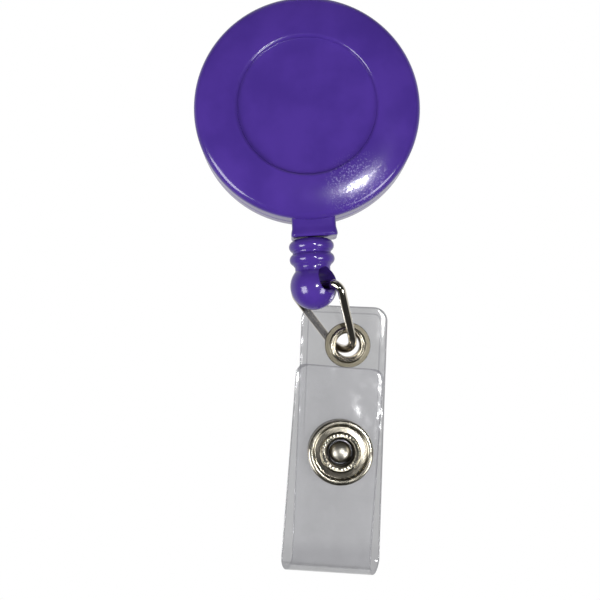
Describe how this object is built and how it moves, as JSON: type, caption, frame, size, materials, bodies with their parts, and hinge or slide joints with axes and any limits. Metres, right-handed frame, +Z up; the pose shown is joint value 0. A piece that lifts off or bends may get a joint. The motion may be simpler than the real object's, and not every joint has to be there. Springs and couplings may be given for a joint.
{
  "type": "retractable badge reel",
  "caption": "Round purple reel with a belt clip: a spring-wound cord ends in a ribbed ball, a wire link and a clear vinyl strap that folds up and closes with a ring snap.",
  "frame": {"origin": "centre of the label recess's face, on the spool's axis", "axes": "+Z up as the reel hangs, -Y out of the face, +X to the right seen from the front"},
  "size_m": [0.032, 0.0116, 0.0821],
  "materials": {
    "case": "glossy moulded ABS, violet",
    "clip_steel": "plated spring steel",
    "spool": "natural acetal",
    "spring_steel": "blued spring steel",
    "cord": "braided nylon cord",
    "nickel": "nickel plate, slightly warm",
    "vinyl": "clear flexible vinyl"
  },
  "bodies": {
    "case": {"front_cover": "case", "back_cover": "case", "belt_clip": "clip_steel", "axle_rivet": "clip_steel", "cord_lead": "cord"},
    "clip_leg": {"clip_tongue": "clip_steel"},
    "spool": {"spool": "spool", "power_spring": "spring_steel", "cord_wound": "cord"},
    "cord": {"cord_end": "cord", "cord_knot": "cord"},
    "cord_stop": {"strain_relief": "case"},
    "link": {"wire_link": "nickel"},
    "strap": {"strap_back": "vinyl", "eyelet": "nickel", "eyelet_washer": "nickel", "snap_stud": "nickel", "stud_cap": "nickel"},
    "flap": {"strap_flap": "vinyl", "snap_ring": "nickel", "snap_socket": "nickel", "snap_spring": "spring_steel"}
  },
  "joints": [
    {"name": "cord_pull", "type": "slide", "parent": "case", "child": "cord", "axis": [0, 0, -1], "range_m": [0, 0.6], "stiffness_N_per_m": 0.9, "springref_m": -0.8},
    {"name": "spool_spin", "type": "hinge", "parent": "case", "child": "spool", "pos_m": [0, 0, 0], "axis": [0, 1, 0], "range_deg": [-10, 2960], "deforming": ["power_spring"]},
    {"name": "end_swivel", "type": "hinge", "parent": "cord", "child": "cord_stop", "pos_m": [-0.0005, 0.0036, -0.0252], "axis": [0, 0, 1], "range_deg": [-180, 180]},
    {"name": "link_pivot", "type": "hinge", "parent": "cord_stop", "child": "link", "pos_m": [-0.00035, 0.00385, -0.02515], "axis": [0.7071, -0.7071, 0], "range_deg": [-100, 16]},
    {"name": "strap_swing", "type": "hinge", "parent": "link", "child": "strap", "pos_m": [0.00395, 0.007, -0.0336], "axis": [0.0052, 0.9986, 0.0521], "range_deg": [-60, 0]},
    {"name": "flap_fold", "type": "hinge", "parent": "strap", "child": "flap", "pos_m": [0.00017, 0.00582, -0.06538], "axis": [0.9951, 0, -0.0993], "range_deg": [0, 105]},
    {"name": "clip_flex", "type": "hinge", "parent": "case", "child": "clip_leg", "pos_m": [0, 0.00867, 0.0132], "axis": [1, 0, 0], "range_deg": [0, 8], "stiffness_Nm_per_rad": 0.5}
  ],
  "couplings": [
    {"joint": "spool_spin", "follows": "cord_pull", "rad_per_m": 85}
  ]
}
